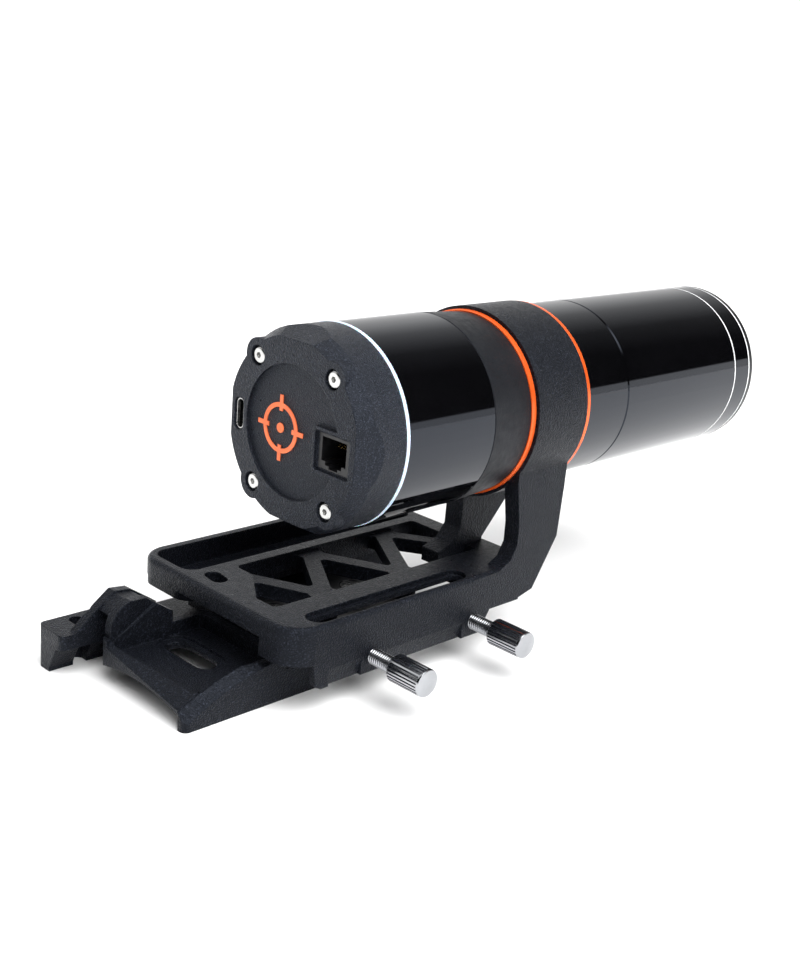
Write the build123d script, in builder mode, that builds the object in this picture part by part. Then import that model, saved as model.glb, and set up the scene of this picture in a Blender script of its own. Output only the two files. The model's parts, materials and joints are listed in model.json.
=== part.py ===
from build123d import *
from math import asin, cos, sin
import os

os.makedirs("parts", exist_ok=True)

# Row frame, in millimetres: +Y is the optical axis towards the sky, +Z is up, +X is the thumbscrew side.
# The origin is on the optical axis, in the image sensor's plane.

# Driving dimensions: stations along the optical axis
Y_FACE = -34.0          # rear face of the cap
Y_LIGHT = -18.0         # rear side of the light ring
Y_TUBE = -16.6          # rear end of the rear barrel
Y_COLLAR = 18.3         # rear barrel meets the tapered collar
Y_RING_0 = 37.5         # rear side of the bracket ring
Y_RING_1 = 61.0         # front side of the bracket ring
Y_LOCK = 62.9           # rear side of the lock ring
Y_BARREL = 84.6         # rear end of the front barrel
Y_BAND = 148.9          # rear end of the nose band
Y_RIM = 158.7           # rear end of the nose rim
Y_FRONT = 161.6         # front of the nose rim
ACCENT = 1.9            # width of an accent ring
LINE = 0.5              # width of a white line

# Driving dimensions: radii
R_REAR = 29.3
R_FRONT = 28.5
R_COLLAR = 28.2         # small end of the tapered collar
R_BRACKET = 29.9
R_CORE = 25.0           # outside of the core tube
R_BORE = 26.8           # inside of the two barrels
CORE_WALL = 1.6
FIT = 0.02              # radial gap between stacked pieces of one body
EDGE = 0.25             # small edge break on turned pieces

# Rear cap
R_FACE = 26.8
R_RECESS = 19.2
RECESS = 0.9
CAP_WALL = 2.2
Y_BEVEL = -29.4
FACETS = 4
FACET_TAPER = 24
SCREW_X, SCREW_Z = 15.5, 18.5
LOBE_R = 5.0
COUNTERBORE = 1.9
GASKET_R, GASKET_W, GASKET_D = 27.9, 1.4, 1.2
USB_X = -22.6
JACK_X, JACK_Z = 16.9, -1.9
JACK_W, JACK_H = 12.0, 10.0
JACK_SUNK = 1.0         # the jack sits this far below the face
PLUG_W, PLUG_H = 9.6, 6.8

# Bracket: tray, arm and keel
TRAY_TOP = -47.2
TRAY_UNDER = -53.0
TRAY_FAR, TRAY_NEAR = -48.2, 24.8
TRAY_REAR, TRAY_FRONT = -50.5, 50.0
WALL_BOTTOM = -66.4
WALL_T = 2.4
LIP_Z = -61.2
RIB_X = -24.0
RIB_T = 4.0
NEAR_RAIL = 8.0         # inner edge of the near rail of the tray
NEAR_RAIL_T = 3.0       # thickness of the near rail's top, hollow below
POCKET_FLOOR = -54.4
PLATE_T = 1.8
ARM_T = 5.6
KEEL_T = 7.0

# Thumbscrews and their jaw
SCREW_AXIS_Z = -62.0
SCREW_Y = (-19.1, 23.2)
SHANK_R = 2.5
KNOB_R = 4.15
KNOB_START, KNOB_END = 33.4, 46.0
RUN = 0.05              # running clearance of screw and tip
BOSS_IN = 17.4
JAW_OUT = 14.6

# Base saddle and rail
FLOOR = -74.0
BASE_TOP = -64.6
BASE_NEAR, BASE_FAR = 12.5, -45.6
NEAR_WING_FAR, FAR_WING_NEAR = -27.5, -33.0
NEAR_REAR, FAR_REAR = -76.0, -85.0
BODY_REAR, BODY_FRONT = -62.0, 20.0
SADDLE_R, SADDLE_X, SADDLE_CROWN = 70.0, -9.0, -67.0
FOOT_T = 3.0
RAIL_TOP = -57.6
RAIL_X0, RAIL_X1 = -29.0, 9.0
RAIL_Y0, RAIL_Y1 = -39.0, 14.0
RAIL_SLOPE = 2.4        # how far each flank of the rail leans in, top to bottom
JAW_GAP = 0.12
JAW_TOP = -56.4
JAW_UNDER = BASE_TOP + 0.4


def lean(z):
    """How far a flank of the dovetail has leaned in at height z."""
    return RAIL_SLOPE * (RAIL_TOP - z) / (RAIL_TOP - BASE_TOP)


def station(y):
    """Plane across the optical axis at y: sketch x is +X, sketch y is +Z, extrude(-amount) goes to +Y."""
    return Plane.XZ.offset(-y)


def side(x):
    """Plane parallel to the tube at x: sketch x is +Y, sketch y is +Z, extrude(amount) goes to +X."""
    return Plane.YZ.offset(x)


def save(piece, label):
    piece.part.label = label
    export_step(piece.part, f"parts/{label}.step")


def turned(label, *outline):
    """A piece turned about the optical axis, from an outline of (radius, y) points."""
    with BuildPart() as piece:
        with BuildSketch(Plane.XY):
            with BuildLine():
                Polyline(*outline, close=True)
            make_face()
        revolve(axis=Axis.Y)
    save(piece, label)


def ring(label, r_out, r_in, y0, y1, edge=EDGE):
    """A plain turned ring with its two outer edges broken."""
    turned(label, (r_in, y0), (r_out - edge, y0), (r_out, y0 + edge), (r_out, y1 - edge), (r_out - edge, y1), (r_in, y1))


def cap_arc(r, y_rim, sag):
    """End and middle points of a lens face centred on the axis: rim at radius r, apex sag further along Y."""
    radius = (r * r + sag * sag) / (2 * abs(sag))
    half = asin(r / radius) / 2
    drop = radius * (1 - cos(half))
    way = 1 if sag > 0 else -1
    return (0, y_rim + sag), (radius * sin(half), y_rim + sag - way * drop), (r, y_rim)


def lens(label, r, y0, y1, sag0, sag1):
    """A lens with its rim from y0 to y1; sag0 and sag1 are how far each face's apex lies along Y from its rim."""
    back = cap_arc(r, y0, sag0)
    front = cap_arc(r, y1, sag1)
    with BuildPart() as piece:
        with BuildSketch(Plane.XY):
            with BuildLine():
                ThreePointArc(*front)
                Line((r, y1), (r, y0))
                ThreePointArc(*back)
                Line(back[0], front[0])
            make_face()
        revolve(axis=Axis.Y)
    save(piece, label)


# ---------------------------------------------------------------- rear cap and what it carries
SCREW_SPOTS = [(x, z) for x in (-SCREW_X, SCREW_X) for z in (-SCREW_Z, SCREW_Z)]
Y_DISC = Y_FACE + RECESS
Y_INSIDE = Y_DISC + CAP_WALL
CAP_BACK = Plane((0, Y_FACE, 0), x_dir=(-1, 0, 0), z_dir=(0, 1, 0))

with BuildPart() as rear_cap:
    with BuildSketch(Plane.XY):
        with BuildLine():
            Polyline((0, Y_FACE), (R_FACE, Y_FACE), (R_REAR, Y_BEVEL), (R_REAR, Y_LIGHT), (0, Y_LIGHT), close=True)
        make_face()
    revolve(axis=Axis.Y)
    # flat facets round the bevel
    with BuildSketch(CAP_BACK):
        RegularPolygon(R_FACE - 0.9, FACETS, major_radius=False, rotation=180 / FACETS)
    extrude(amount=Y_LIGHT - Y_FACE, taper=-FACET_TAPER, mode=Mode.INTERSECT)
    # lobes round the screws
    with BuildSketch(station(Y_FACE)):
        with Locations(*SCREW_SPOTS):
            Circle(LOBE_R)
    extrude(amount=-8)
    # hollow, leaving screw posts
    with BuildSketch(station(Y_INSIDE)):
        Circle(R_FACE - CAP_WALL)
        with Locations(*SCREW_SPOTS):
            Circle(3.4, mode=Mode.SUBTRACT)
    extrude(amount=-(Y_LIGHT - Y_INSIDE), mode=Mode.SUBTRACT)
    # shallow disc, and the raised pad round the jack
    with BuildSketch(station(Y_FACE)):
        Circle(R_RECESS)
    extrude(amount=-RECESS, mode=Mode.SUBTRACT)
    with BuildSketch(station(Y_FACE)):
        with Locations((JACK_X, JACK_Z)):
            RectangleRounded(JACK_W + 3.6, JACK_H + 3.2, 1.2)
    extrude(amount=-(RECESS + CAP_WALL))
    # sockets
    with BuildSketch(station(Y_FACE)):
        with Locations((JACK_X, JACK_Z)):
            Rectangle(JACK_W, JACK_H)
        with Locations((USB_X, 0)):
            SlotOverall(9.7, 4.0, rotation=90)
    extrude(amount=-(Y_INSIDE - Y_FACE + 1), mode=Mode.SUBTRACT)
    with BuildSketch(station(Y_FACE)):
        with Locations((JACK_X, JACK_Z)):
            RectangleRounded(JACK_W + 1.6, JACK_H + 1.2, 0.6)
    extrude(amount=-JACK_SUNK, mode=Mode.SUBTRACT)
    # groove for the gasket
    with BuildSketch(station(Y_LIGHT - GASKET_D)):
        Circle(GASKET_R + GASKET_W / 2)
        Circle(GASKET_R - GASKET_W / 2, mode=Mode.SUBTRACT)
    extrude(amount=-GASKET_D - 1, mode=Mode.SUBTRACT)
    # counterbored screw holes
    with BuildSketch(station(Y_FACE)):
        with Locations(*SCREW_SPOTS):
            Circle(2.9)
    extrude(amount=-COUNTERBORE, mode=Mode.SUBTRACT)
    with BuildSketch(station(Y_FACE)):
        with Locations(*SCREW_SPOTS):
            Circle(1.3)
    extrude(amount=-(Y_LIGHT - Y_FACE), mode=Mode.SUBTRACT)
save(rear_cap, "rear_cap")

Y_SEAT = Y_FACE + COUNTERBORE
HEAD_H = 1.6
with BuildPart() as cap_screws:
    with BuildSketch(station(Y_SEAT)):
        with Locations(*SCREW_SPOTS):
            Circle(2.6)
    extrude(amount=HEAD_H)
    fillet(cap_screws.faces().group_by(Axis.Y)[0].edges(), 0.9)
    with BuildSketch(station(Y_SEAT)):
        with Locations(*SCREW_SPOTS):
            Circle(1.25)
    extrude(amount=-13.0)
    with BuildSketch(station(Y_SEAT - HEAD_H)):
        with Locations(*SCREW_SPOTS):
            RegularPolygon(0.8, 6, major_radius=False)
    extrude(amount=-1.1, mode=Mode.SUBTRACT)
save(cap_screws, "cap_screws")

# Generic reticle mark in the disc: a ring, a dot and four ticks
MARK_X = -5.2
MARK_R = 7.2
with BuildPart() as emblem_inlay:
    with BuildSketch(station(Y_DISC)):
        with Locations((MARK_X, 0)):
            Circle(MARK_R)
            Circle(MARK_R - 1.3, mode=Mode.SUBTRACT)
            Circle(1.4)
            with PolarLocations(MARK_R, 4):
                Rectangle(4.6, 1.3)
    extrude(amount=0.25)
save(emblem_inlay, "emblem_inlay")

Y_BOARD = -16.2
BOARD_T = 1.6
with BuildPart() as usb_c_shell:
    with BuildSketch(station(Y_FACE + 0.5)):
        with Locations((USB_X, 0)):
            SlotOverall(8.94, 3.26, rotation=90)
            SlotOverall(8.34, 2.66, rotation=90, mode=Mode.SUBTRACT)
    extrude(amount=-9.6)
    with BuildSketch(station(Y_FACE + 9.1)):
        with Locations((USB_X, 0)):
            SlotOverall(8.94, 3.26, rotation=90)
    extrude(amount=-1.0)
save(usb_c_shell, "usb_c_shell")

with BuildPart() as usb_c_tongue:
    with BuildSketch(station(Y_FACE + 2.2)):
        with Locations((USB_X, 0)):
            Rectangle(0.7, 6.7)
    extrude(amount=-6.9)
save(usb_c_tongue, "usb_c_tongue")

Y_JACK = Y_FACE + JACK_SUNK
with BuildPart() as jack_housing:
    with BuildSketch(station(Y_JACK)):
        with Locations((JACK_X, JACK_Z)):
            Rectangle(JACK_W - 0.1, JACK_H - 0.1)
    extrude(amount=-(Y_BOARD - Y_JACK))
    # plug opening, with the stepped way for the latch below it
    with BuildSketch(station(Y_JACK)):
        with Locations((JACK_X, JACK_Z + 0.7)):
            Rectangle(PLUG_W, PLUG_H)
        with Locations((JACK_X, JACK_Z - 3.1)):
            Rectangle(6.4, 1.4)
        with Locations((JACK_X, JACK_Z - 4.0)):
            Rectangle(3.4, 1.2)
    extrude(amount=-10.8, mode=Mode.SUBTRACT)
save(jack_housing, "jack_housing")

PINS = 6
PIN_PITCH = 1.02
with BuildPart() as jack_contacts:
    with BuildSketch(side(JACK_X - PIN_PITCH * (PINS - 1) / 2 - 0.2)):
        with BuildLine():
            Polyline((Y_FACE + 4.0, JACK_Z + 1.4), (Y_FACE + 11.8, JACK_Z + 3.9),
                     (Y_FACE + 11.8, JACK_Z + 3.5), (Y_FACE + 4.4, JACK_Z + 1.1), close=True)
        make_face()
    extrude(amount=0.4)
    wire = jack_contacts.part
    with Locations(*[(PIN_PITCH * i, 0, 0) for i in range(1, PINS)]):
        add(wire)
save(jack_contacts, "jack_contacts")

# ---------------------------------------------------------------- light ring and seal
ring("light_ring", R_REAR + 0.15, 25.8, Y_LIGHT, Y_TUBE, 0.3)
ring("light_board", 25.7, 24.1, Y_BOARD - 0.2, Y_BOARD + 1.0, 0.05)
ring("cap_gasket", GASKET_R + GASKET_W / 2 - FIT, GASKET_R - GASKET_W / 2 + FIT, Y_LIGHT - GASKET_D, Y_LIGHT, 0.1)

LEDS = 12
with BuildPart() as status_leds:
    with BuildSketch(station(Y_BOARD - 0.2)):
        with PolarLocations(24.9, LEDS):
            Rectangle(1.2, 2.0)
    extrude(amount=0.7)
save(status_leds, "status_leds")

# ---------------------------------------------------------------- barrel stack
turned("rear_barrel", (R_BORE, Y_TUBE), (R_REAR, Y_TUBE), (R_REAR, Y_COLLAR - EDGE),
       (R_REAR - EDGE, Y_COLLAR), (R_BORE, Y_COLLAR))
turned("core_tube", (R_CORE - CORE_WALL, 12), (R_BORE - FIT, 12), (R_BORE - FIT, 16), (R_CORE, 16),
       (R_CORE, 92), (R_CORE - CORE_WALL, 92))
turned("collar", (R_CORE + FIT, 16 + FIT), (R_BORE - FIT, 16 + FIT), (R_BORE - FIT, Y_COLLAR),
       (R_REAR - EDGE, Y_COLLAR), (R_REAR, Y_COLLAR + EDGE), (R_COLLAR, Y_RING_0 - ACCENT),
       (R_CORE + FIT, Y_RING_0 - ACCENT))
ring("accent_ring_rear", R_COLLAR + 0.7, R_CORE + FIT, Y_RING_0 - ACCENT, Y_RING_0, 0.35)
ring("accent_ring_front", R_BRACKET - 0.15, R_CORE + FIT, Y_RING_1, Y_LOCK, 0.35)
ring("lock_ring", R_FRONT, R_CORE + FIT, Y_LOCK, Y_BARREL - 0.3)
turned("front_barrel", (R_BORE - 0.2, Y_BARREL), (R_FRONT - 0.4, Y_BARREL), (R_FRONT, Y_BARREL + 0.4),
       (R_FRONT, Y_BAND), (R_BORE - 0.2, Y_BAND))
turned("nose_band", (R_BORE - 0.2, Y_BAND + LINE), (R_FRONT, Y_BAND + LINE), (R_FRONT, Y_RIM - LINE),
       (R_BORE - 0.2, Y_RIM - LINE))
with BuildPart() as nose_lines:
    for y in (Y_BAND, Y_RIM - LINE):
        with BuildSketch(station(y)):
            Circle(R_FRONT + 0.05)
            Circle(R_BORE - 0.2, mode=Mode.SUBTRACT)
        extrude(amount=-LINE)
save(nose_lines, "nose_lines")
turned("nose_rim", (25.2, 140), (R_BORE - 0.2 - FIT, 140), (R_BORE - 0.2 - FIT, Y_RIM), (R_FRONT, Y_RIM),
       (R_FRONT, Y_FRONT - 0.9), (R_FRONT - 0.9, Y_FRONT), (25.6, Y_FRONT), (25.2, Y_FRONT - 0.4))

# ---------------------------------------------------------------- objective
LENS_R = 22.2
CELL_R = R_BORE - 0.2 - FIT
turned("lens_cell", (19.0, 92 + FIT), (CELL_R, 92 + FIT), (CELL_R, 103.4), (CELL_R - 1.0, 103.4),
       (CELL_R - 1.0, 105.0), (CELL_R, 105.0), (CELL_R, 117), (LENS_R + 0.1, 117), (LENS_R + 0.1, 94), (19.0, 94))
lens("rear_lens", LENS_R, 94.0, 97.0, 1.2, 0.8)
turned("lens_spacer", (20.6, 97.2), (LENS_R, 97.02), (LENS_R, 99.58), (20.6, 99.3))
lens("middle_lens", LENS_R, 99.6, 103.0, -1.6, -1.8)
turned("lens_shim", (20.6, 103.02), (LENS_R, 103.02), (LENS_R, 105.58), (20.6, 105.3))
lens("front_lens", LENS_R, 105.6, 109.6, -1.7, 3.0)
turned("lens_retainer", (20.0, 110.5), (LENS_R, 109.65), (LENS_R, 113.4), (20.6, 113.4), (20.0, 112.8))
with BuildPart() as cell_oring:
    with BuildSketch(Plane.XY):
        with Locations((CELL_R - 0.45, 104.2)):
            Circle(0.45)
    revolve(axis=Axis.Y)
save(cell_oring, "cell_oring")
turned("baffle", (15.0, 52), (16.4, 50), (R_CORE - CORE_WALL - FIT, 50), (R_CORE - CORE_WALL - FIT, 54),
       (22.0, 54), (22.0, 52))

# ---------------------------------------------------------------- sensor and electronics
PLATE_Y = -6.4
PLATE_FRONT = -3.8
POST = 13.0
with BuildPart() as sensor_plate:
    with BuildSketch(station(PLATE_Y)):
        Circle(R_BORE - FIT)
        with Locations((0, 17.5)):
            Rectangle(10, 2, mode=Mode.SUBTRACT)
    extrude(amount=-(PLATE_FRONT - PLATE_Y))
save(sensor_plate, "sensor_plate")

with BuildPart() as sensor_board:
    with BuildSketch(station(PLATE_FRONT)):
        RectangleRounded(34, 34, 3)
    extrude(amount=-BOARD_T)
save(sensor_board, "sensor_board")

with BuildPart() as image_sensor:
    with BuildSketch(station(PLATE_FRONT + BOARD_T)):
        Rectangle(14, 12)
    extrude(amount=PLATE_FRONT + BOARD_T)
save(image_sensor, "image_sensor")

with BuildPart() as filter_holder:
    with BuildSketch(station(PLATE_FRONT + BOARD_T)):
        RectangleRounded(23, 23, 2)
        Rectangle(18.2, 18.2, mode=Mode.SUBTRACT)
    extrude(amount=-6.2)
    with BuildSketch(station(2.6)):
        Rectangle(18.4, 18.4)
        Rectangle(15.0, 15.0, mode=Mode.SUBTRACT)
    extrude(amount=-0.8)
save(filter_holder, "filter_holder")

with BuildPart() as filter_glass:
    with BuildSketch(station(1.5)):
        Rectangle(18, 18)
    extrude(amount=-1.1)
save(filter_glass, "filter_glass")

with BuildPart() as main_board:
    with BuildSketch(station(Y_BOARD)):
        Circle(21.0)
    extrude(amount=-BOARD_T)
save(main_board, "main_board")

with BuildPart() as main_chip:
    with BuildSketch(station(Y_BOARD + BOARD_T)):
        Rectangle(12, 12)
    extrude(amount=-1.4)
save(main_chip, "main_chip")

with BuildPart() as heat_pad:
    with BuildSketch(station(Y_BOARD + BOARD_T + 1.4)):
        Rectangle(11, 11)
    extrude(amount=-(PLATE_Y - Y_BOARD - BOARD_T - 1.4))
save(heat_pad, "heat_pad")

POSTS = [(x, z) for x in (-POST, POST) for z in (-POST, POST)]
with BuildPart() as board_standoffs:
    with BuildSketch(station(Y_BOARD + BOARD_T)):
        with Locations(*POSTS):
            RegularPolygon(2.2, 6, major_radius=False)
    extrude(amount=-(PLATE_Y - Y_BOARD - BOARD_T))
save(board_standoffs, "board_standoffs")

with BuildPart() as board_screws:
    with BuildSketch(station(Y_BOARD)):
        with Locations(*POSTS):
            Circle(2.2)
    extrude(amount=1.3)
    fillet(board_screws.faces().group_by(Axis.Y)[0].edges(), 0.6)
save(board_screws, "board_screws")

with BuildPart() as ribbon_cable:
    with BuildSketch(station(Y_BOARD + BOARD_T)):
        with Locations((0, 17.5)):
            Rectangle(8, 0.4)
    extrude(amount=-(PLATE_FRONT - Y_BOARD - BOARD_T))
save(ribbon_cable, "ribbon_cable")

# ---------------------------------------------------------------- cradle bracket: ring, arm, keel and tray
BOSS = ((6.0, -22.5), (7.0, 9.0))
NODE = ((-20.5, -5.0), (-21.5, 27.0))
MEMBER_T = 5.0
MEMBER_DROP = 1.3
POCKET_R = 1.5
TRAY_ROUND = 1.6
CORNER_UNDER = -58.5
TRAY_CORNER = 9.0
SLOT_X, SLOT_Y0, SLOT_Y1, SLOT_W = 19.6, -40.0, 21.0, 5.0

with BuildPart() as cradle_bracket:
    # plate, deeper along its far side, with a rounded rim
    with BuildSketch(Plane.XY.offset(TRAY_UNDER)):
        with BuildLine():
            FilletPolyline((TRAY_NEAR, TRAY_FRONT), (TRAY_FAR, TRAY_FRONT), (TRAY_FAR, TRAY_REAR),
                           (TRAY_NEAR, TRAY_REAR), radius=TRAY_CORNER, close=True)
        make_face()
    extrude(amount=TRAY_TOP - TRAY_UNDER)
    with BuildSketch(Plane.XY.offset(POCKET_FLOOR - PLATE_T)):
        with Locations(((TRAY_FAR + 1 + RIB_X) / 2, (TRAY_REAR + TRAY_FRONT) / 2)):
            RectangleRounded(RIB_X - TRAY_FAR - 1, TRAY_FRONT - TRAY_REAR - 2, 6)
    extrude(amount=TRAY_TOP - POCKET_FLOOR + PLATE_T - TRAY_ROUND)
    fillet(edges().group_by(Axis.Z)[-1], radius=TRAY_ROUND)
    # far pocket
    POCKET_X0 = TRAY_FAR + 3.6
    POCKET_X1 = RIB_X - RIB_T / 2
    with BuildSketch(Plane.XY.offset(POCKET_FLOOR)):
        with Locations(((POCKET_X0 + POCKET_X1) / 2, (TRAY_REAR + TRAY_FRONT) / 2)):
            RectangleRounded(POCKET_X1 - POCKET_X0, TRAY_FRONT - TRAY_REAR - 6.4, 4.5)
    extrude(amount=TRAY_TOP - POCKET_FLOOR, mode=Mode.SUBTRACT)
    # window with the zigzag members across it, which lie lower than the rails
    WINDOW = ((RIB_X + RIB_T / 2, 42), (RIB_X + RIB_T / 2, -33), (-14, -33), (0, -43), (NEAR_RAIL, -43),
              (NEAR_RAIL, 42))
    with BuildSketch(Plane.XY.offset(TRAY_UNDER - 1)):
        with BuildLine():
            Polyline(*WINDOW, close=True)
        make_face()
        with BuildLine(mode=Mode.PRIVATE) as zigzag:
            Polyline((-18, -34), BOSS[0], NODE[0], BOSS[1], NODE[1], (3, 44))
        trace(zigzag.edges(), line_width=MEMBER_T, mode=Mode.SUBTRACT)
        with Locations(*BOSS):
            Circle(4.8, mode=Mode.SUBTRACT)
        with Locations(*NODE):
            Circle(4.4, mode=Mode.SUBTRACT)
        offset(amount=-POCKET_R)
        offset(amount=POCKET_R)
    extrude(amount=TRAY_TOP - TRAY_UNDER + 2, mode=Mode.SUBTRACT)
    with BuildSketch(Plane.XY.offset(TRAY_TOP - MEMBER_DROP)):
        with BuildLine():
            FilletPolyline(*WINDOW, radius=2.0, close=True)
        make_face()
    extrude(amount=MEMBER_DROP + 1, mode=Mode.SUBTRACT)
    with BuildSketch(Plane.XY.offset(TRAY_UNDER - 1)):
        with Locations((-18.5, -43.0)):
            SlotOverall(8.6, 5.0, rotation=-8)
    extrude(amount=TRAY_TOP - TRAY_UNDER + 2, mode=Mode.SUBTRACT)
    # posts under the two near bosses
    with BuildSketch(Plane.XY.offset(TRAY_UNDER)):
        with Locations(*BOSS):
            Circle(4.2)
    extrude(amount=-3.0)
    # flared skirt along the far side
    with BuildSketch(station(TRAY_REAR + 7)):
        with BuildLine():
            Polyline((TRAY_FAR + 1.0, TRAY_TOP - 1.0), (TRAY_FAR - 3.0, -55.8), (TRAY_FAR - 0.6, -56.2),
                     (TRAY_FAR + 2.4, -56.2), (TRAY_FAR + 2.4, TRAY_TOP - 1.0), close=True)
        make_face()
    extrude(amount=-(TRAY_FRONT - TRAY_REAR - 14))
    # far jaw of the dovetail
    with BuildSketch(station(RAIL_Y0 + 1)):
        with BuildLine():
            Polyline((RAIL_X0 - 9, POCKET_FLOOR - 1), (RAIL_X0 - 9, JAW_UNDER),
                     (RAIL_X0 + lean(JAW_UNDER) - JAW_GAP, JAW_UNDER), (RAIL_X0 - JAW_GAP, RAIL_TOP),
                     (RAIL_X0 - JAW_GAP, POCKET_FLOOR - 1), close=True)
        make_face()
    extrude(amount=-76)
    # near wall, its lip, and the bosses of the thumbscrews
    with BuildSketch(side(TRAY_NEAR)):
        with BuildLine():
            Polyline((-42.0, TRAY_TOP - TRAY_ROUND), (-42.6, -58), (-41.2, WALL_BOTTOM + 1), (-39.4, WALL_BOTTOM),
                     (26.0, WALL_BOTTOM), (28.4, -62.8), (30.3, -59.6), (44.0, -59.6), (44.0, TRAY_TOP - TRAY_ROUND),
                     close=True)
        make_face()
    extrude(amount=-WALL_T)
    with BuildSketch(side(TRAY_NEAR)):
        for y in SCREW_Y:
            with BuildLine(mode=Mode.PRIVATE) as boss_line:
                Polyline((y - 6.0, LIP_Z + 2), (y - 4.4, WALL_BOTTOM), (y + 3.6, WALL_BOTTOM),
                         (y + 6.6, LIP_Z + 2), close=True)
            make_face(boss_line.edges())
    extrude(amount=-(TRAY_NEAR - BOSS_IN))
    # lip bevel between the bosses
    for y0, y1 in ((-36.5, SCREW_Y[0] - 5.2), (SCREW_Y[0] + 5.2, SCREW_Y[1] - 5.2)):
        with BuildSketch(station(y0)):
            with BuildLine():
                Polyline((TRAY_NEAR + 1, LIP_Z), (TRAY_NEAR, LIP_Z), (TRAY_NEAR - 1.4, WALL_BOTTOM - 1),
                         (TRAY_NEAR + 1, WALL_BOTTOM - 1), close=True)
            make_face()
        extrude(amount=-(y1 - y0), mode=Mode.SUBTRACT)
    # front crossbeam
    with BuildSketch(Plane.XY.offset(-56.0)):
        with Locations((10.6, 45.0)):
            Rectangle(28.2, 9.0)
    extrude(amount=TRAY_TOP + 56.0)
    # near arm
    with BuildSketch(side(TRAY_NEAR)):
        with BuildLine():
            Polyline((Y_RING_0, -13), (Y_RING_1, -13), (Y_RING_1, -24.0), (60.2, -41.3), (50.5, -57.4),
                     (44.0, -59.0), (30.3, -59.6), (22, -50), (22, -48), (33.0, -47.6), (38.0, -45.2),
                     (40.4, -40.6), (40.2, -34.0), (Y_RING_0, -20.0), close=True)
        make_face()
    extrude(amount=-ARM_T)
    # keel
    with BuildSketch(side(-KEEL_T / 2)):
        with BuildLine():
            Polyline((Y_RING_0, -26), (Y_RING_1, -26), (60.0, -33.0), (48.5, -46.0), (48.5, -52), (28, -52),
                     (28, -47.5), (34.0, -45.5), (Y_RING_0, -41.0), close=True)
        make_face()
    extrude(amount=KEEL_T)
    # ring
    with BuildSketch(station(Y_RING_0)):
        Circle(R_BRACKET)
    extrude(amount=-(Y_RING_1 - Y_RING_0))
    with BuildSketch(station(Y_RING_0 - 2)):
        Circle(R_CORE + FIT)
    extrude(amount=-(Y_RING_1 - Y_RING_0 + 4), mode=Mode.SUBTRACT)
    # the near rail is hollow below
    with BuildSketch(Plane.XY.offset(TRAY_UNDER - 0.5)):
        with Locations((16.2, -8.0)):
            RectangleRounded(12.0, 62.0, 1.5)
    extrude(amount=TRAY_TOP - NEAR_RAIL_T - TRAY_UNDER + 0.5, mode=Mode.SUBTRACT)
    # the rear corner wraps down from the tray to the wall
    with BuildSketch(Plane.XY.offset(CORNER_UNDER)):
        with Locations(((TRAY_NEAR + TRAY_FAR) / 2, (TRAY_REAR + TRAY_FRONT) / 2)):
            RectangleRounded(TRAY_NEAR - TRAY_FAR, TRAY_FRONT - TRAY_REAR, TRAY_CORNER)
            RectangleRounded(TRAY_NEAR - TRAY_FAR - 2 * WALL_T, TRAY_FRONT - TRAY_REAR - 2 * WALL_T,
                             TRAY_CORNER - WALL_T, mode=Mode.SUBTRACT)
        with Locations((TRAY_NEAR - 6, TRAY_REAR + 5)):
            Rectangle(16, 12, mode=Mode.INTERSECT)
    extrude(amount=TRAY_UNDER - CORNER_UNDER + 1)
    # stepped slot along the near rail
    for width, z0, grow in ((SLOT_W + 2.2, TRAY_TOP - 1.4, 1.6), (SLOT_W, TRAY_UNDER - 4, 0)):
        with BuildSketch(Plane.XY.offset(z0)):
            with Locations((SLOT_X, (SLOT_Y0 + SLOT_Y1) / 2)):
                SlotOverall(SLOT_Y1 - SLOT_Y0 + grow, width, rotation=90)
        extrude(amount=12, mode=Mode.SUBTRACT)
    # threaded bores of the thumbscrews
    with BuildSketch(side(BOSS_IN - 1)):
        with Locations(*[(y, SCREW_AXIS_Z) for y in SCREW_Y]):
            Circle(SHANK_R + RUN)
    extrude(amount=12, mode=Mode.SUBTRACT)
save(cradle_bracket, "cradle_bracket")

# ---------------------------------------------------------------- jaw and thumbscrews
TIP_R = 1.2
TIP_START = 12.4
with BuildPart() as clamp_jaw:
    with BuildSketch(station(-38)):
        with BuildLine():
            Polyline((RAIL_X1 + JAW_GAP, JAW_TOP), (RAIL_X1 + JAW_GAP, RAIL_TOP),
                     (RAIL_X1 - lean(JAW_UNDER) + JAW_GAP, JAW_UNDER), (JAW_OUT, JAW_UNDER), (JAW_OUT, JAW_TOP),
                     close=True)
        make_face()
    extrude(amount=-76)
    with BuildSketch(side(JAW_OUT)):
        with Locations(*[(y, SCREW_AXIS_Z) for y in SCREW_Y]):
            Circle(TIP_R + RUN)
    extrude(amount=-(JAW_OUT - TIP_START + 0.3), mode=Mode.SUBTRACT)
save(clamp_jaw, "clamp_jaw")

KNURLS = 28


def clamp_screw(label, y):
    """A knurled thumbscrew: tip in the jaw, shank through the boss, knob outside."""
    with BuildPart() as screw:
        with BuildSketch(side(TIP_START)):
            with Locations((y, SCREW_AXIS_Z)):
                Circle(TIP_R)
        extrude(amount=4)
        with BuildSketch(side(JAW_OUT + 0.1)):
            with Locations((y, SCREW_AXIS_Z)):
                Circle(SHANK_R)
        extrude(amount=KNOB_START - JAW_OUT)
        with BuildSketch(side(KNOB_START)):
            with Locations((y, SCREW_AXIS_Z)):
                Circle(KNOB_R)
        extrude(amount=KNOB_END - KNOB_START)
        chamfer(screw.faces().sort_by(Axis.X)[-1].edges(), 0.6)
        with BuildSketch(side(KNOB_START - 1)):
            with Locations((y, SCREW_AXIS_Z)):
                with PolarLocations(KNOB_R + 0.1, KNURLS):
                    RegularPolygon(0.34, 3)
        extrude(amount=KNOB_END - KNOB_START - 0.4, mode=Mode.SUBTRACT)
    save(screw, label)


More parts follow.
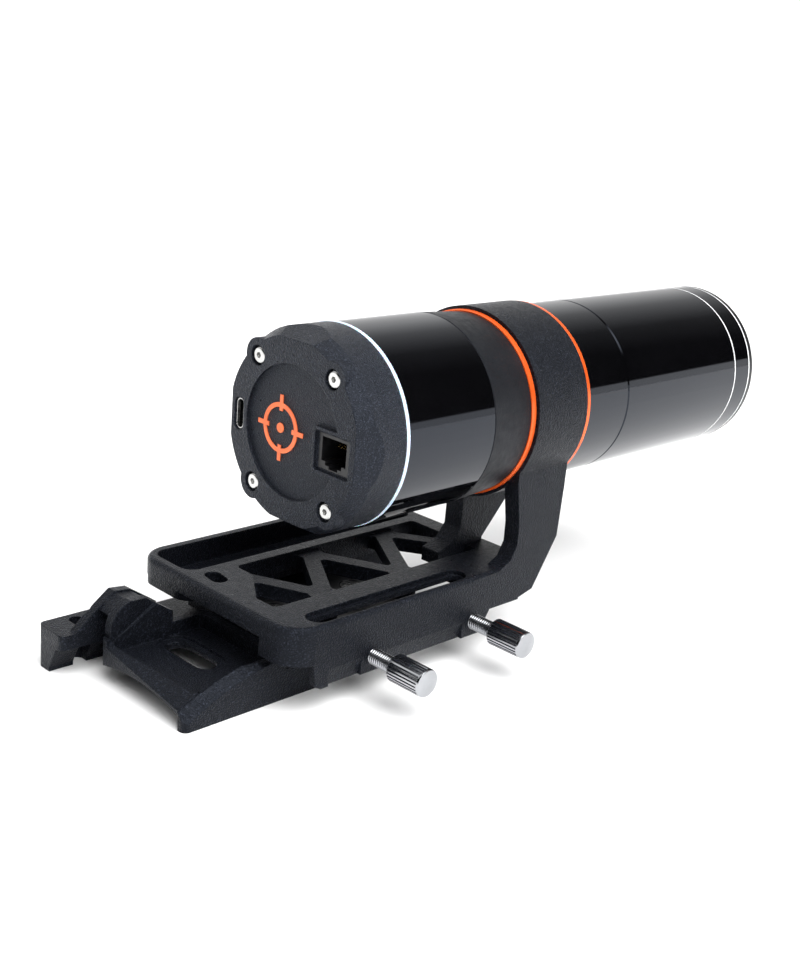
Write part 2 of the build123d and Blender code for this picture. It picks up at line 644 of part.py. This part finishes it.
clamp_screw("clamp_screw_rear", SCREW_Y[0])
clamp_screw("clamp_screw_front", SCREW_Y[1])

# ---------------------------------------------------------------- base saddle
BAND_TOP = -61.0
PIT_FLOOR = -65.2
ARCH_TOP = -50.8
SLOT_SPOT = (-12.0, -56.0)
CORNER_R = 2.0
PIT_FAR, PIT_NEAR, PIT_FRONT = NEAR_WING_FAR + 3, BASE_NEAR - FOOT_T, -43.0
PIT_CORNER_FAR = Vector(PIT_FAR, -74.4, -62.2)
PIT_CORNER_NEAR = Vector(PIT_NEAR, -70.4, -65.0)
LIP_POINT = Vector(-5.0, NEAR_REAR, -66.0)

with BuildPart() as base_saddle:
    with BuildSketch(Plane.XY.offset(FLOOR)):
        with BuildLine():
            FilletPolyline((BASE_NEAR, BODY_FRONT), (BASE_FAR, BODY_FRONT), (BASE_FAR, FAR_REAR),
                           (FAR_WING_NEAR, FAR_REAR), (FAR_WING_NEAR, BODY_REAR), (NEAR_WING_FAR, BODY_REAR),
                           (NEAR_WING_FAR, NEAR_REAR), (BASE_NEAR, NEAR_REAR), radius=CORNER_R, close=True)
        make_face()
    extrude(amount=BASE_TOP - FLOOR)
    # rear wings rise above the body
    with BuildSketch(Plane.XY.offset(BASE_TOP)):
        with BuildLine(mode=Mode.PRIVATE) as near_wing:
            FilletPolyline((NEAR_WING_FAR, NEAR_REAR), (BASE_NEAR, NEAR_REAR), (BASE_NEAR, -40),
                           (NEAR_WING_FAR, -40), radius=CORNER_R, close=True)
        make_face(near_wing.edges())
        with BuildLine(mode=Mode.PRIVATE) as far_wing:
            FilletPolyline((BASE_FAR, FAR_REAR), (FAR_WING_NEAR, FAR_REAR), (FAR_WING_NEAR, -52),
                           (BASE_FAR, -52), radius=CORNER_R, close=True)
        make_face(far_wing.edges())
    extrude(amount=BAND_TOP - BASE_TOP)
    # arched inner walls each side of the notch
    for x0, y0 in ((NEAR_WING_FAR, NEAR_REAR), (FAR_WING_NEAR - 3, FAR_REAR + 3)):
        with BuildSketch(side(x0)):
            with BuildLine():
                Line((y0 + 0.8, BASE_TOP), (y0 + 1.6, BAND_TOP))
                ThreePointArc((y0 + 1.6, BAND_TOP), (-73.5, ARCH_TOP - 4.2), (-68.0, ARCH_TOP))
                Polyline((-68.0, ARCH_TOP), (-62.5, ARCH_TOP - 0.6), (-53.5, -57.4), (-53.5, BASE_TOP),
                         (y0 + 0.8, BASE_TOP))
            make_face()
        extrude(amount=3)
    # vault between the arched walls
    with BuildSketch(side(FAR_WING_NEAR - 1)):
        with BuildLine():
            Polyline((-73.0, ARCH_TOP - 4.6), (-71.0, ARCH_TOP - 2.2), (-68.0, ARCH_TOP - 0.5),
                     (-62.6, ARCH_TOP - 1.1), (-54.0, -57.9), (-54.0, -60.0), close=True)
        make_face()
    extrude(amount=NEAR_WING_FAR - FAR_WING_NEAR + 2)
    # pit in the near wing
    with BuildSketch(Plane.XY.offset(PIT_FLOOR)):
        with BuildLine():
            FilletPolyline((PIT_FAR, PIT_FRONT), (PIT_FAR, PIT_CORNER_FAR.Y), (PIT_NEAR, PIT_CORNER_NEAR.Y),
                           (PIT_NEAR, PIT_FRONT), radius=1.5, close=True)
        make_face()
    extrude(amount=BAND_TOP - PIT_FLOOR, mode=Mode.SUBTRACT)
    # the rear lip of the pit slopes down to the rear and to the near side
    along = PIT_CORNER_NEAR - PIT_CORNER_FAR
    upwards = along.cross(PIT_CORNER_FAR - LIP_POINT)
    with BuildSketch(Plane(PIT_CORNER_FAR, x_dir=along, z_dir=upwards)):
        with Locations((25, 0)):
            Rectangle(50, 40)
    extrude(amount=9, mode=Mode.SUBTRACT)
    # fender: the near side falls away to the rear foot, lower on its outer edge
    for x, low, middle, high in ((PIT_NEAR, -69.5, -62.6, -59.9), (BASE_NEAR + 0.1, FLOOR + 1.0, -65.4, -60.9)):
        with BuildSketch(side(x)):
            with BuildLine():
                ThreePointArc((NEAR_REAR - 1, low), (-62.0, middle), (-42.0, high))
                Polyline((-42.0, high), (-42.0, -50), (NEAR_REAR - 1, -50), (NEAR_REAR - 1, low))
            make_face()
    loft(mode=Mode.SUBTRACT)
    # concave underside between the two feet
    with BuildSketch(station(FAR_REAR - 1)):
        with Locations((SADDLE_X, SADDLE_CROWN - SADDLE_R)):
            Circle(SADDLE_R)
        with Locations((-20, FLOOR - 40)):
            Rectangle(60, 80)
        with Locations((BASE_NEAR - FOOT_T + 50, -100)):
            Rectangle(100, 200, mode=Mode.SUBTRACT)
        with Locations((BASE_FAR + FOOT_T - 50, -100)):
            Rectangle(100, 200, mode=Mode.SUBTRACT)
    extrude(amount=-(BODY_FRONT - FAR_REAR + 2), mode=Mode.SUBTRACT)
    # the far wing is undercut
    with BuildSketch(station(FAR_REAR - 1)):
        with BuildLine():
            Polyline((BASE_FAR + 6, FLOOR - 1), (BASE_FAR + 6, -72.8), (BASE_FAR + 9.6, -65.8),
                     (FAR_WING_NEAR + 1, -65.2), (FAR_WING_NEAR + 1, FLOOR - 1), close=True)
        make_face()
    extrude(amount=-(BODY_REAR - FAR_REAR - 2), mode=Mode.SUBTRACT)
    # lateral slots, counterbored
    with BuildSketch(Plane.XY.offset(PIT_FLOOR - 0.8)):
        with Locations(SLOT_SPOT):
            SlotOverall(25, 11.6)
    extrude(amount=3, mode=Mode.SUBTRACT)
    with BuildSketch(Plane.XY.offset(FLOOR)):
        with Locations(SLOT_SPOT):
            SlotOverall(20, 6.6)
        with Locations((-39.6, -75.0)):
            SlotOverall(8, 4.4)
    extrude(amount=30, mode=Mode.SUBTRACT)
save(base_saddle, "base_saddle")

RAIL_SCREWS = ((-10.0, -28.0), (-10.0, 4.0))
with BuildPart() as base_rail:
    with BuildSketch(station(RAIL_Y0)):
        with BuildLine():
            Polyline((RAIL_X0, RAIL_TOP), (RAIL_X1, RAIL_TOP), (RAIL_X1 - RAIL_SLOPE, BASE_TOP),
                     (RAIL_X0 + RAIL_SLOPE, BASE_TOP), close=True)
        make_face()
    extrude(amount=-(RAIL_Y1 - RAIL_Y0))
    with Locations(*[(x, y, RAIL_TOP) for x, y in RAIL_SCREWS]):
        CounterSinkHole(radius=2.1, counter_sink_radius=4.1)
save(base_rail, "base_rail")

with BuildPart() as rail_screws:
    with BuildSketch(Plane.XY.offset(RAIL_TOP - 0.3)):
        with Locations(*RAIL_SCREWS):
            Circle(3.7)
    extrude(amount=-2.0, taper=45)
    with BuildSketch(Plane.XY.offset(RAIL_TOP - 2.0)):
        with Locations(*RAIL_SCREWS):
            Circle(1.9)
    extrude(amount=-(RAIL_TOP - 2.0 - BASE_TOP))
    with BuildSketch(Plane.XY.offset(RAIL_TOP - 0.3)):
        with Locations(*RAIL_SCREWS):
            RegularPolygon(1.25, 6, major_radius=False)
    extrude(amount=-1.4, mode=Mode.SUBTRACT)
save(rail_screws, "rail_screws")
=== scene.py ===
"""Looks of the guide camera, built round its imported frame. Lengths are in metres, in the row frame."""
import json
import math

import bpy
from mathutils import Matrix, Vector


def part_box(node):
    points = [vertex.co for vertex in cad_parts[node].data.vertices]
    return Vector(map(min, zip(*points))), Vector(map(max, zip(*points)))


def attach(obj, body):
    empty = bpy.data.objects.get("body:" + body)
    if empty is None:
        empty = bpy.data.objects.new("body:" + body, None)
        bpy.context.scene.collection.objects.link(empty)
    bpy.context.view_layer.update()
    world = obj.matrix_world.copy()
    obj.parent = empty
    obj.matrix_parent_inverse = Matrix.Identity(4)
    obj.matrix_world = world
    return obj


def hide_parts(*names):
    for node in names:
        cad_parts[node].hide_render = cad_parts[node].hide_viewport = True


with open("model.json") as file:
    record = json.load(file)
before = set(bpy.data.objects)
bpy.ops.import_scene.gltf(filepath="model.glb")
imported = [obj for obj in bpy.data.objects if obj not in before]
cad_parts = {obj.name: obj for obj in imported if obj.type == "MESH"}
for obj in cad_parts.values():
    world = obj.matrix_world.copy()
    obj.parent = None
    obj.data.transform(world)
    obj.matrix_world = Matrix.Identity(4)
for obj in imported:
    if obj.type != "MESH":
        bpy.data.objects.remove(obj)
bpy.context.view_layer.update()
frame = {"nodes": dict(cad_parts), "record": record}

MM = 0.001
FLOOR_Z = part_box("base_saddle")[0].z


# ---------------------------------------------------------------- camera
CAMERA_PLACE = Vector((0.2625, -0.2653, 0.1009))
CAMERA_AZIMUTH = math.radians(43.474)      # 0 looks along +Y
CAMERA_ELEVATION = math.radians(18.143)
CAMERA_ROLL = math.radians(5.002)
LENS_MM = 48.61                            # for a 36 mm sensor on the picture's long side


def make_camera():
    level = math.cos(CAMERA_ELEVATION)
    back = Vector((
        math.sin(CAMERA_AZIMUTH) * level,
        -math.cos(CAMERA_AZIMUTH) * level,
        math.sin(CAMERA_ELEVATION),
    ))
    right = (-back).cross(Vector((0, 0, 1))).normalized()
    up = right.cross(-back)
    rolled_right = math.cos(CAMERA_ROLL) * right + math.sin(CAMERA_ROLL) * up
    rolled_up = math.cos(CAMERA_ROLL) * up - math.sin(CAMERA_ROLL) * right
    data = bpy.data.cameras.new("camera")
    data.lens = LENS_MM
    data.sensor_width = 36
    data.clip_start = 0.01
    data.clip_end = 100
    camera = bpy.data.objects.new("camera", data)
    turn = Matrix((rolled_right, rolled_up, back)).transposed()
    camera.matrix_world = Matrix.Translation(CAMERA_PLACE) @ turn.to_4x4()
    bpy.context.scene.collection.objects.link(camera)
    bpy.context.scene.camera = camera


# ---------------------------------------------------------------- materials
WAVE_PERIOD = 0.314               # of Blender's wave texture at scale 1


class Finish:
    """One procedural material: a Principled shader, and the texture nodes that feed it, in object space."""

    def __init__(self, name, colour, roughness, metallic=0.0):
        self.material = bpy.data.materials.new(name)
        self.material.use_nodes = True
        self.tree = self.material.node_tree
        self.shader = self.tree.nodes["Principled BSDF"]
        self.colour = (*colour, 1.0)
        self.set("Base Color", self.colour)
        self.set("Roughness", roughness)
        self.set("Metallic", metallic)
        self.place = self.node("TexCoord").outputs["Object"]
        self.height = None

    def node(self, kind, **values):
        made = self.tree.nodes.new("ShaderNode" + kind)
        for key, value in values.items():
            setattr(made, key, value)
        return made

    def join(self, start, end):
        self.tree.links.new(start, end)

    def set(self, socket, value):
        self.shader.inputs[socket].default_value = value

    def noise(self, size, detail=2.0, stretch=(1, 1, 1)):
        """Noise whose features are about size metres across, stretched along each axis by stretch."""
        mapping = self.node("Mapping")
        mapping.inputs["Scale"].default_value = tuple(1 / (size * s) for s in stretch)
        noise = self.node("TexNoise")
        noise.inputs["Scale"].default_value = 1.0
        noise.inputs["Detail"].default_value = detail
        self.join(self.place, mapping.inputs["Vector"])
        self.join(mapping.outputs["Vector"], noise.inputs["Vector"])
        return noise.outputs["Fac"]

    def span(self, value, low, high, start=0.3, end=0.7):
        """The value between start and end, mapped to low and high."""
        ranged = self.node("MapRange")
        for socket, number in (("From Min", start), ("From Max", end), ("To Min", low), ("To Max", high)):
            ranged.inputs[socket].default_value = number
        self.join(value, ranged.inputs["Value"])
        return ranged.outputs["Result"]

    def mottle(self, size, dark, light, detail=3.0):
        """Slow colour variation between two multiples of the base colour."""
        ramp = self.node("ValToRGB")
        for stop, share in zip(ramp.color_ramp.elements, (dark, light)):
            stop.color = (*(min(1.0, c * share) for c in self.colour[:3]), 1.0)
        ramp.color_ramp.elements[0].position = 0.32
        ramp.color_ramp.elements[1].position = 0.68
        self.join(self.noise(size, detail), ramp.inputs["Fac"])
        self.join(ramp.outputs["Color"], self.shader.inputs["Base Color"])
        self.tint = ramp.outputs["Color"]
        return self

    def painted_glints(self, size, colour, threshold=0.66):
        """Small spots of another, brighter colour painted over the mottled base: painted glints on the grain
        of a textured powder coat.
        """
        # painted highlights: the spots follow the high points of the grain's noise
        glint_spots = self.span(self.noise(size, 1.0), 0.0, 1.0, threshold, threshold + 0.06)
        mix = self.node("Mix", data_type="RGBA")
        self.join(glint_spots, mix.inputs["Factor"])
        self.join(self.tint, mix.inputs["A"])
        mix.inputs["B"].default_value = (*colour, 1.0)
        self.join(mix.outputs["Result"], self.shader.inputs["Base Color"])
        return self

    def rough(self, size, low, high, stretch=(1, 1, 1)):
        """Roughness that drifts between two values."""
        self.join(self.span(self.noise(size, 2.0, stretch), low, high), self.shader.inputs["Roughness"])
        return self

    def soften(self, radius):
        """Makes edges look rounded to this radius."""
        rounding = self.node("Bevel", samples=6)
        rounding.inputs["Radius"].default_value = radius
        self.height = rounding.outputs["Normal"]
        return self

    def bump(self, value, depth):
        """Adds a relief depth metres high to the surface."""
        bump = self.node("Bump")
        bump.inputs["Strength"].default_value = 1.0
        bump.inputs["Distance"].default_value = depth
        self.join(value, bump.inputs["Height"])
        if self.height is not None:
            self.join(self.height, bump.inputs["Normal"])
        self.height = bump.outputs["Normal"]
        self.join(self.height, self.shader.inputs["Normal"])
        return self

    def grooves(self, pitch, depth, direction="Y"):
        """Adds grooves across one axis."""
        wave = self.node("TexWave", bands_direction=direction)
        wave.inputs["Scale"].default_value = WAVE_PERIOD / pitch
        wave.inputs["Distortion"].default_value = 0.6
        self.join(self.place, wave.inputs["Vector"])
        return self.bump(wave.outputs["Fac"], depth)


COOL = (0.74, 0.82, 1.0, 1.0)     # tint of the reflections on black pieces
PAINTED_GLINT_SHARE = 5.0               # times the brightness of the coat round the painted glints on its grain


def cast_finish(name, colour, level, grain=0.45 * MM):
    """Textured powder coat on a casting, with painted glints on its grain."""
    finish = Finish(name, colour, 0.4).mottle(25 * MM, 0.92, 1.08)
    # painted highlights: bright spots on the grain in place of its glints
    finish.painted_glints(grain, [share * PAINTED_GLINT_SHARE for share in colour], 0.6)
    finish.rough(1.5 * MM, 0.27, 0.4)
    finish.soften(0.45 * MM)
    finish.bump(finish.noise(grain, 1.0), 0.36 * MM)
    finish.bump(finish.noise(2.2 * MM, 1.0), 0.05 * MM)
    finish.set("Specular IOR Level", level)
    finish.set("Specular Tint", COOL)
    return finish


def lacquer_finish(name, colour):
    """Gloss black lacquer, almost a mirror."""
    finish = Finish(name, colour, 0.05).mottle(30 * MM, 0.8, 1.2)
    finish.rough(9 * MM, 0.035, 0.075)
    finish.bump(finish.noise(2.5 * MM, 1.0), 0.0008 * MM)
    finish.set("Specular Tint", COOL)
    return finish


def anodised_finish(name, colour, roughness, metallic=0.6):
    finish = Finish(name, colour, roughness, metallic).mottle(8 * MM, 0.88, 1.12)
    finish.rough(2 * MM, roughness * 0.8, roughness * 1.2, (8, 1, 8))
    return finish.grooves(0.22 * MM, 0.004 * MM)


def metal_finish(name, colour, roughness, grain=0.8 * MM, rounding=0.12 * MM):
    finish = Finish(name, colour, roughness, 1.0).mottle(5 * MM, 0.9, 1.06).soften(rounding)
    finish.rough(grain, roughness * 0.7, roughness * 1.3, (1, 6, 1))
    finish.bump(finish.noise(0.3 * MM, 1.0), 0.002 * MM)
    return finish


def plastic_finish(name, colour, roughness, grain=0.25 * MM, depth=0.015 * MM):
    finish = Finish(name, colour, roughness).mottle(6 * MM, 0.85, 1.15)
    finish.rough(2 * MM, roughness * 0.85, roughness * 1.15)
    finish.bump(finish.noise(grain, 2.0), depth)
    return finish


def satin_finish(name, colour):
    """Fine bead-blasted black."""
    finish = plastic_finish(name, colour, 0.42, 0.3 * MM, 0.09 * MM)
    finish.set("Specular IOR Level", 0.16)
    finish.set("Specular Tint", COOL)
    return finish


def light_pipe_finish():
    finish = plastic_finish("light_pipe", (0.62, 0.74, 0.92), 0.28)
    finish.set("Subsurface Weight", 0.25)
    finish.set("Subsurface Scale", 1.0 * MM)
    # painted glow: a faint emission that lifts the light pipe out of its shade
    finish.set("Emission Color", (0.66, 0.79, 1.0, 1.0))
    finish.set("Emission Strength", 0.02)
    return finish


def glass_finish():
    finish = Finish("coated_glass", (0.88, 0.96, 0.94), 0.01).mottle(20 * MM, 0.97, 1.0)
    finish.set("Transmission Weight", 1.0)
    finish.set("IOR", 1.52)
    finish.set("Coat Weight", 0.5)
    finish.set("Coat Tint", (0.55, 0.9, 0.75, 1.0))
    return finish


def circuit_finish():
    finish = plastic_finish("circuit_board", (0.012, 0.075, 0.03), 0.38)
    finish.grooves(1.1 * MM, 0.02 * MM, "X")
    return finish.grooves(1.7 * MM, 0.015 * MM, "Z")


FINISHES = {
    "cap_plastic": cast_finish("cap_plastic", (0.0066, 0.0076, 0.0105), 0.25, 0.36 * MM),
    "cast_black": cast_finish("cast_black", (0.004, 0.0046, 0.0064), 0.15),
    "gloss_black": lacquer_finish("gloss_black", (0.0018, 0.0018, 0.0022)),
    "matte_black": satin_finish("matte_black", (0.0085, 0.009, 0.0105)),
    "black_anodised": anodised_finish("black_anodised", (0.012, 0.012, 0.014), 0.36, 0.3),
    "orange_anodised": anodised_finish("orange_anodised", (0.9, 0.125, 0.02), 0.24, 0.35),
    "orange_print": plastic_finish("orange_print", (0.95, 0.17, 0.045), 0.5),
    "white_paint": plastic_finish("white_paint", (0.88, 0.9, 0.93), 0.4),
    "light_pipe": light_pipe_finish(),
    "steel": metal_finish("steel", (0.6, 0.6, 0.59), 0.22),
    "chrome": metal_finish("chrome", (0.44, 0.45, 0.47), 0.18, rounding=0.03 * MM),
    "brass": metal_finish("brass", (0.72, 0.5, 0.2), 0.3),
    "gold_contact": metal_finish("gold_contact", (0.83, 0.58, 0.2), 0.22),
    "black_plastic": plastic_finish("black_plastic", (0.006, 0.006, 0.007), 0.4),
    "rubber": plastic_finish("rubber", (0.008, 0.008, 0.008), 0.75),
    "coated_glass": glass_finish(),
    "sensor_silicon": plastic_finish("sensor_silicon", (0.02, 0.05, 0.06), 0.08),
    "circuit_board": circuit_finish(),
    "bare_aluminium": metal_finish("bare_aluminium", (0.55, 0.56, 0.57), 0.35),
    "heat_pad": plastic_finish("heat_pad", (0.16, 0.2, 0.27), 0.8),
    "ribbon": plastic_finish("ribbon", (0.35, 0.14, 0.02), 0.3),
}


def finish_cad_nodes():
    """Gives every CAD node the finish of its slot in the record."""
    for part in frame["record"]["subparts"]:
        slots = frame["nodes"][part["node"]].data.materials
        finish = FINISHES[part["material_slot"]].material
        if not slots:
            slots.append(finish)
        for index in range(len(slots)):
            slots[index] = finish


# ---------------------------------------------------------------- meshes
SHARP = math.radians(32)        # edges over this angle are shaded sharp


def add_piece(name, verts, faces, body, slot):
    """A mesh object that rides on a body and has the finish of a slot."""
    mesh = bpy.data.meshes.new(name)
    mesh.from_pydata(verts, [], faces)
    mesh.validate()
    mesh.shade_smooth()
    mesh.set_sharp_from_angle(angle=SHARP)
    mesh.materials.append(FINISHES[slot].material)
    piece = bpy.data.objects.new(name, mesh)
    bpy.context.scene.collection.objects.link(piece)
    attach(piece, body)
    return piece


def body_of(node):
    return next(body for body, nodes in frame["record"]["behaviour"]["bodies"].items() if node in nodes)


def along_x(rows, segments, centre, verts, faces):
    """A closed shell round a line parallel to X: each row is (x, radius as a function of the angle)."""
    first = len(verts)
    for x, radius in rows:
        for step in range(segments):
            angle = 2 * math.pi * step / segments
            r = radius(angle)
            verts.append((x, centre.y + r * math.cos(angle), centre.z + r * math.sin(angle)))
    for row in range(len(rows) - 1):
        for step in range(segments):
            a = first + row * segments + step
            b = first + row * segments + (step + 1) % segments
            faces.append((a, b, b + segments, a + segments))
    last = first + (len(rows) - 1) * segments
    faces.append(tuple(range(first + segments - 1, first - 1, -1)))
    faces.append(tuple(range(last, last + segments)))


# Thumbscrew: M5 x 0.8 shank, straight-knurled knob
SHANK_R = 2.5 * MM
THREAD_PITCH = 0.8 * MM
THREAD_DEPTH = 0.55 * MM
THREAD_ROWS = 10                # rows in one turn of the thread
THREAD_SEGMENTS = 48
TIP_CHAMFER = 0.4 * MM          # below the root of the thread
FLUTES = 26
FLUTE_STEPS = 8                 # segments across one flute and land
FLUTE_SHARE = 0.5               # of the pitch of the flutes
FLUTE_DEPTH = 0.42 * MM
KNOB_LENGTH = 12.6 * MM
KNOB_CHAMFER = 0.5 * MM
LIP_DROP = 0.05 * MM            # of the smooth lip, below the lands
SHANK_IN_KNOB = 0.5 * MM


def plain(radius):
    """A round section."""
    return lambda angle: radius


def thread(x):
    """The radius round the thread at x: a V groove that winds along the shank."""
    def radius(angle):
        turn = (x / THREAD_PITCH - angle / (2 * math.pi)) % 1
        return SHANK_R - THREAD_DEPTH * max(0.0, abs(2 * turn - 1) * 1.25 - 0.25)
    return radius


def fluted(outer):
    """The radius round the knob: flat lands with round-bottomed grooves between them."""
    def radius(angle):
        share = (angle * FLUTES / (2 * math.pi)) % 1
        return outer - FLUTE_DEPTH * math.sin(math.pi * min(1.0, share / FLUTE_SHARE))
    return radius


def shank_rows(start, end):
    """The threaded shank from its chamfered tip at start to its end inside the knob."""
    length = end - start + SHANK_IN_KNOB
    count = round(length / THREAD_PITCH * THREAD_ROWS)
    rows = [(start, plain(SHANK_R - THREAD_DEPTH - TIP_CHAMFER))]
    for row in range(THREAD_ROWS // 2, count + 1):
        x = start + length * row / count
        rows.append((x, thread(x)))
    return rows


def knob_rows(start, end, outer):
    """The knob from its chamfered shoulder at start, along its flutes, to its lip and flat face at end."""
    shoulder = outer - KNOB_CHAMFER
    lip = plain(outer - LIP_DROP)
    return [
        (start, plain(SHANK_R - 0.2 * MM)),
        (start, plain(shoulder - 0.1 * MM)),
        (start + 0.1 * MM, plain(shoulder)),
        (start + KNOB_CHAMFER, fluted(outer)),
        (end - 2.1 * KNOB_CHAMFER, fluted(outer)),
        (end - 1.6 * KNOB_CHAMFER, lip),
        (end - KNOB_CHAMFER, lip),
        (end - 0.35 * KNOB_CHAMFER, plain(outer - 0.2 * MM)),
        (end, plain(outer - 0.6 * MM)),
        (end, plain(0.3 * outer)),
    ]


def thumbscrew(node):
    """A screw with a thread and flutes. The CAD one has a smooth shank and very shallow knurls."""
    low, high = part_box(node)
    centre = (low + high) / 2
    knob_x = high.x - KNOB_LENGTH
    verts, faces = [], []
    along_x(shank_rows(low.x, knob_x), THREAD_SEGMENTS, centre, verts, faces)
    along_x(knob_rows(knob_x, high.x, (high.z - low.z) / 2), FLUTES * FLUTE_STEPS, centre, verts, faces)
    piece = add_piece(node + "_detailed", verts, faces, body_of(node), "chrome")
    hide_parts(node)


# ---------------------------------------------------------------- floor and light
FLOOR_HALF = 30.0
FLOOR_GAP = 0.05 * MM                 # below the feet
BACK_LIGHT = (-0.75, 0.6, 0.3)        # towards the dim light behind the object
KNOB_LIGHT = (-0.65, -0.2, 0.7)       # towards the light that the thumbscrews mirror
EDGE_LIGHT = (0.55, 0.0, 0.83)        # towards the bright soft light above the thumbscrew side
EDGE_LIGHT_SHARE = 6.0                # times the brightness of the horizon
STUDIO_STRENGTH = 1.15
SUN_ENERGY = 0.7
SUN_ANGLE = math.radians(160)         # wide enough to shade like an overcast sky
SUN_FROM = (-0.1, 0.2, 1.0)

# Each light: the direction towards it, its shades by the cosine of the angle from there, and its strength
STUDIO = (
    ((0, 0, 1), ((0.0, 1.0), (0.085, 1.0), (0.1, 0.0), (1.0, 0.0)), 1.0),
    (BACK_LIGHT, ((0.0, 0.0), (0.35, 0.0), (0.62, 0.1), (0.87, 0.5), (0.97, 0.9)), 1.0),
    (KNOB_LIGHT, ((0.0, 0.0), (0.72, 0.0), (0.9, 0.9)), 1.0),
    (EDGE_LIGHT, ((0.0, 0.0), (0.8, 0.0), (0.93, 1.0)), EDGE_LIGHT_SHARE),
)


def make_floor():
    half = FLOOR_HALF
    mesh = bpy.data.meshes.new("floor")
    corners = [(-half, -half, 0), (half, -half, 0), (half, half, 0), (-half, half, 0)]
    mesh.from_pydata(corners, [], [(0, 1, 2, 3)])
    finish = Finish("floor", (0.9, 0.9, 0.9), 0.7)
    finish.mottle(0.4, 0.995, 1.005)
    mesh.materials.append(finish.material)
    floor = bpy.data.objects.new("floor", mesh)
    floor.location = (0, 0, FLOOR_Z - FLOOR_GAP)
    bpy.context.scene.collection.objects.link(floor)


def vector_math(tree, operation, first, second=None):
    node = tree.nodes.new("ShaderNodeVectorMath")
    node.operation = operation
    tree.links.new(first, node.inputs[0])
    if second is not None:
        tree.links.new(second, node.inputs[1])
    return node


def shade_towards(tree, direction, towards, shades, strength):
    """How bright one light of the studio is in each direction."""
    dot = vector_math(tree, "DOT_PRODUCT", direction)
    dot.inputs[1].default_value = Vector(towards).normalized()
    ramp = tree.nodes.new("ShaderNodeValToRGB")
    stops = ramp.color_ramp.elements
    stops.remove(stops[1])
    stops[0].position = shades[0][0]
    stops[0].color = (shades[0][1],) * 3 + (1,)
    for place, shade in shades[1:]:
        stops.new(place).color = (shade, shade, shade, 1)
    tree.links.new(dot.outputs["Value"], ramp.inputs["Fac"])
    scaled = vector_math(tree, "SCALE", ramp.outputs["Color"])
    scaled.inputs["Scale"].default_value = strength
    return scaled.outputs["Vector"]


def make_world():
    """What the pieces mirror: a white horizon and three soft lights on black. The camera sees plain white."""
    world = bpy.data.worlds.new("studio")
    bpy.context.scene.world = world
    world.use_nodes = True
    tree = world.node_tree
    direction = tree.nodes.new("ShaderNodeTexCoord").outputs["Generated"]
    brightest = shade_towards(tree, direction, *STUDIO[0])
    for light in STUDIO[1:]:
        shade = shade_towards(tree, direction, *light)
        brightest = vector_math(tree, "MAXIMUM", brightest, shade).outputs["Vector"]
    backdrop = tree.nodes.new("ShaderNodeMix")
    backdrop.data_type = "RGBA"
    backdrop.inputs["B"].default_value = (1, 1, 1, 1)
    tree.links.new(tree.nodes.new("ShaderNodeLightPath").outputs["Is Camera Ray"], backdrop.inputs["Factor"])
    tree.links.new(brightest, backdrop.inputs["A"])
    background = tree.nodes["Background"]
    tree.links.new(backdrop.outputs["Result"], background.inputs["Color"])
    background.inputs["Strength"].default_value = STUDIO_STRENGTH


def make_sun():
    """A wide soft light from above, which nothing mirrors."""
    data = bpy.data.lights.new("sun", "SUN")
    data.energy = SUN_ENERGY
    data.angle = SUN_ANGLE
    sun = bpy.data.objects.new("sun", data)
    sun.rotation_euler = Vector(SUN_FROM).to_track_quat("Z", "Y").to_euler()
    sun.visible_glossy = False
    bpy.context.scene.collection.objects.link(sun)


make_camera()
finish_cad_nodes()
for screw in ("clamp_screw_rear", "clamp_screw_front"):
    thumbscrew(screw)
make_floor()
make_world()
make_sun()
bpy.context.scene.view_settings.view_transform = "Standard"
